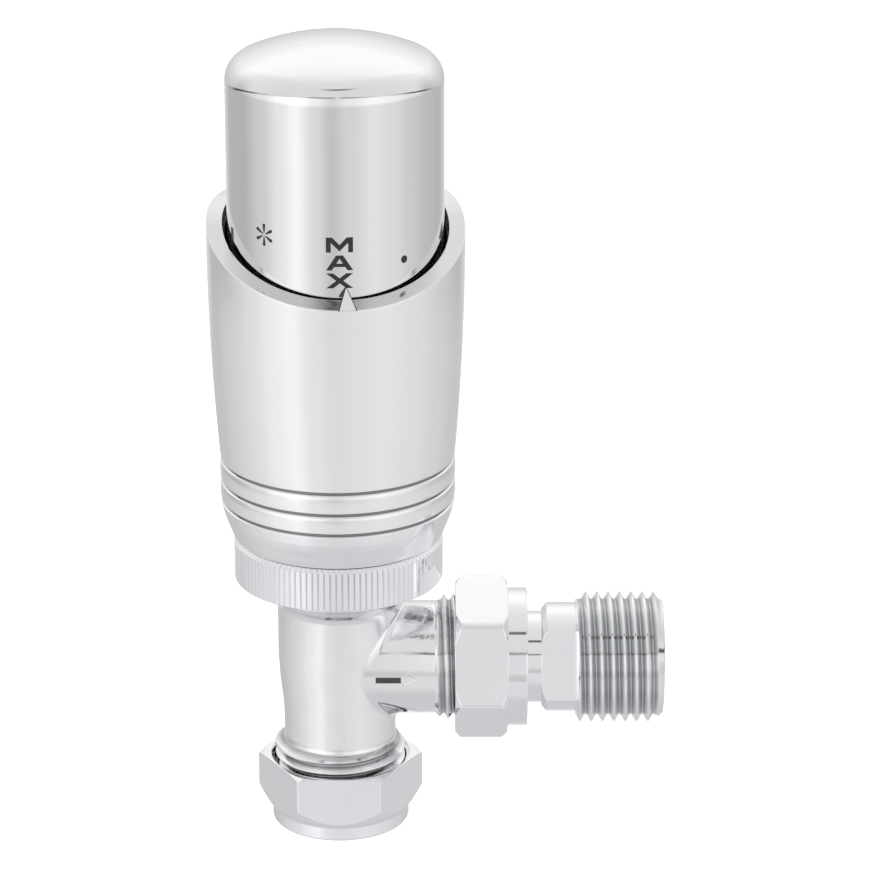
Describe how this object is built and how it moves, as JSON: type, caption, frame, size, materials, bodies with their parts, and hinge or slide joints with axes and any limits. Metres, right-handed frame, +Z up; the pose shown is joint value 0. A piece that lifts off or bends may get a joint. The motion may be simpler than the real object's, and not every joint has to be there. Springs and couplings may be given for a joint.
{
  "type": "thermostatic radiator valve",
  "caption": "Angled radiator valve: turning dial head in a slanted sleeve, pipe compression nut below and a union tailpiece at the side.",
  "frame": {"origin": "centre of the pipe entry, on the underside of the compression nut", "axes": "+Z up along the valve's and the head's axis, +X along the side arm towards the radiator, -Y the side with the pointer"},
  "size_m": [0.0717, 0.04, 0.1299],
  "materials": {
    "chrome_body": "chrome plate over a forged brass body, slightly uneven",
    "chrome_nut": "bright chrome plate over machined brass",
    "chrome_sleeve": "smooth chrome, soft gloss",
    "chrome_knob": "mirror chrome with black dial marks",
    "brass": "plain machined brass",
    "steel": "bright spring steel",
    "capsule_metal": "drawn metal capsule",
    "rubber": "matt black seal rubber",
    "black_plastic": "black moulded plastic, fine grain",
    "white_plastic": "white moulded plastic"
  },
  "bodies": {
    "valve": {"valve_body": "chrome_body", "compression_olive": "brass", "tailpiece": "chrome_nut", "union_seal": "rubber", "union_snap_ring": "steel", "valve_insert": "brass", "insert_o_ring": "rubber", "gland_nut": "brass", "gland_o_ring": "rubber", "return_spring": "steel", "head_housing": "white_plastic", "knob_retaining_ring": "steel", "sleeve": "chrome_sleeve", "pointer": "chrome_sleeve", "black_liner": "black_plastic"},
    "knob": {"knob_shell": "chrome_knob", "knob_core": "white_plastic"},
    "sensor": {"sensor_carrier": "white_plastic", "sensor_capsule": "capsule_metal", "sensor_plunger": "white_plastic", "overload_spring": "steel", "spring_cap": "white_plastic"},
    "spindle": {"spindle_pin": "steel", "spindle_clip": "steel", "disc_holder": "brass", "valve_disc": "rubber"},
    "head_ring": {"knurled_ring_nut": "chrome_nut"},
    "union_coupling": {"union_nut": "chrome_nut"},
    "pipe_coupling": {"compression_nut": "chrome_nut"}
  },
  "joints": [
    {"name": "knob_turn", "type": "hinge", "parent": "valve", "child": "knob", "pos_m": [0, 0, 0.1], "axis": [0, 0, 1], "range_deg": [-317, 0]},
    {"name": "sensor_travel", "type": "slide", "parent": "valve", "child": "sensor", "axis": [0, 0, 1], "range_m": [-0.0024, 0]},
    {"name": "spindle_travel", "type": "slide", "parent": "valve", "child": "spindle", "axis": [0, 0, 1], "range_m": [-0.0025, 0], "deforming": ["return_spring"]},
    {"name": "head_ring_turn", "type": "hinge", "parent": "valve", "child": "head_ring", "pos_m": [0, 0, 0.045], "axis": [0, 0, 1], "continuous": true},
    {"name": "union_nut_turn", "type": "hinge", "parent": "valve", "child": "union_coupling", "pos_m": [0.024, 0, 0.0275], "axis": [1, 0, 0], "continuous": true},
    {"name": "compression_nut_turn", "type": "hinge", "parent": "valve", "child": "pipe_coupling", "pos_m": [0, 0, 0.006], "axis": [0, 0, 1], "continuous": true}
  ],
  "couplings": [
    {"joint": "knob_turn", "follows": "sensor_travel", "rad_per_m": 2305.3},
    {"joint": "spindle_travel", "follows": "sensor_travel", "ratio": 1}
  ]
}
